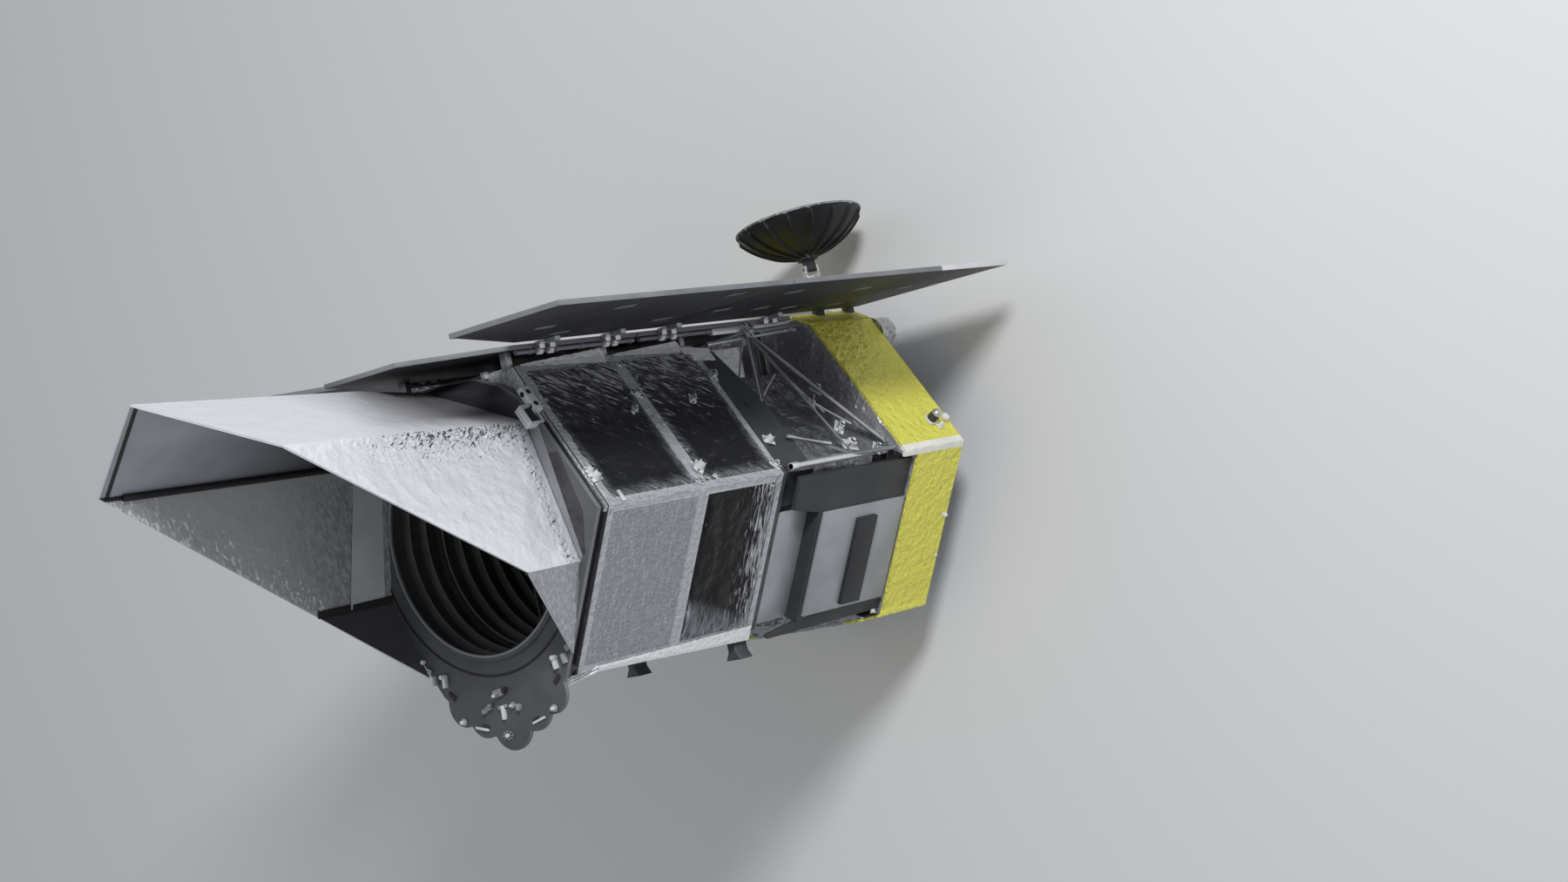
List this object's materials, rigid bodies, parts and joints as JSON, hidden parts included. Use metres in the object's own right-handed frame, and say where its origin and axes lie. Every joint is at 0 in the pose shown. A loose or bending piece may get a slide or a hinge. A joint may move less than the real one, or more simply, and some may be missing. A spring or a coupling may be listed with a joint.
{
  "type": "space telescope satellite",
  "caption": "Space telescope satellite with a hexagonal barrel, flared aperture cover, sunshield with folding wings, foil-wrapped bus and steerable dish antenna.",
  "frame": {"origin": "centre of the launch ring's lower face", "axes": "+Z along the telescope's line of sight, +Y towards the sunlit side with the sunshield, +X to the right side"},
  "size_m": [7.5, 6.1972, 12.27],
  "materials": {
    "baffle_black": "optical black",
    "barrel_grey": "satin",
    "black_film": "glossy film",
    "bus_frame": "dull",
    "cover_lower_grey": "matt grey blanket",
    "cover_silver": "crinkled silver blanket",
    "dark_blanket": "crinkled film",
    "dark_panel": "matt black paint",
    "dish_dark": "matt dark paint",
    "feed_white": "white paint",
    "grey_blanket": "crinkled blanket",
    "hinge_metal": "satin",
    "mirror_coat": "polished silver",
    "plate_grey": "matt dark paint",
    "radiator_grey": "satin paint",
    "ring_metal": "machined",
    "shield_black": "matt black",
    "silver_foil": "crinkled foil",
    "strut_metal": "satin",
    "white_cap": "painted",
    "white_tape": "matt tape",
    "yellow_foil": "crinkled foil"
  },
  "bodies": {
    "spacecraft": {"aft_drum": "silver_foil", "antenna_mast": "hinge_metal", "aperture_plate": "plate_grey", "baffle": "baffle_black", "baffle_vanes": "baffle_black", "barrel_blanket_front": "grey_blanket", "barrel_deck": "dark_blanket", "barrel_feet": "hinge_metal", "barrel_film_front": "black_film", "barrel_film_rear": "black_film", "barrel_front": "barrel_grey", "barrel_rear": "barrel_grey", "bay_cold_panel": "dark_blanket", "bay_core": "dark_blanket", "bay_truss_left": "strut_metal", "bay_truss_right": "strut_metal", "bus_blanket_cold": "yellow_foil", "bus_blanket_lower_left": "yellow_foil", "bus_blanket_lower_right": "yellow_foil", "bus_blanket_sun": "yellow_foil", "bus_blanket_upper_left": "yellow_foil", "bus_blanket_upper_right": "yellow_foil", "bus_core": "bus_frame", "bus_corner_strips": "white_tape", "collar": "dark_blanket", "cover_boom_left": "baffle_black", "cover_boom_right": "baffle_black", "cover_lower_left": "cover_lower_grey", "cover_lower_right": "cover_lower_grey", "cover_roof_left": "cover_silver", "cover_roof_right": "cover_silver", "cover_shroud_left": "dark_blanket", "cover_shroud_right": "dark_blanket", "cover_side_left": "cover_silver", "cover_side_right": "cover_silver", "launch_ring": "ring_metal", "mirror_cell": "baffle_black", "primary_mirror": "mirror_coat", "radiator_bars": "dark_panel", "radiator_frame_left": "dark_panel", "radiator_frame_right": "dark_panel", "radiator_panel_left": "radiator_grey", "radiator_panel_right": "radiator_grey", "radiator_slims": "radiator_grey", "secondary_mirror": "mirror_coat", "shield_centre_front": "shield_black", "shield_centre_rear": "shield_black", "shield_hinges": "hinge_metal", "shield_stays": "hinge_metal", "spider": "baffle_black", "star_trackers": "white_cap"},
    "wing_front_right": {"wing_front_right": "shield_black"},
    "wing_front_left": {"wing_front_left": "shield_black"},
    "wing_rear_right": {"wing_rear_right": "shield_black"},
    "wing_rear_left": {"wing_rear_left": "shield_black"},
    "antenna_head": {"antenna_turret": "hinge_metal"},
    "antenna_reflector": {"antenna_dish": "dish_dark", "antenna_feed": "feed_white"}
  },
  "joints": [
    {"name": "wing_front_right_fold", "type": "hinge", "parent": "spacecraft", "child": "wing_front_right", "pos_m": [1.18, 2.09995, 6], "axis": [0, 0, -1], "range_deg": [0, 50]},
    {"name": "wing_front_left_fold", "type": "hinge", "parent": "spacecraft", "child": "wing_front_left", "pos_m": [-1.18, 2.09995, 6], "axis": [0, 0, 1], "range_deg": [0, 50]},
    {"name": "wing_rear_right_fold", "type": "hinge", "parent": "spacecraft", "child": "wing_rear_right", "pos_m": [1.18, 2.09995, 4], "axis": [0, 0, -1], "range_deg": [0, 50]},
    {"name": "wing_rear_left_fold", "type": "hinge", "parent": "spacecraft", "child": "wing_rear_left", "pos_m": [-1.18, 2.09995, 4], "axis": [0, 0, 1], "range_deg": [0, 50]},
    {"name": "antenna_turn", "type": "hinge", "parent": "spacecraft", "child": "antenna_head", "pos_m": [0.688, 2.6, 1.187], "axis": [0, 1, 0], "range_deg": [-90, 90]},
    {"name": "antenna_tilt", "type": "hinge", "parent": "antenna_head", "child": "antenna_reflector", "pos_m": [0.688, 2.78545, 1.187], "axis": [0.4571, 0, -0.8894], "range_deg": [-36, 52]}
  ]
}
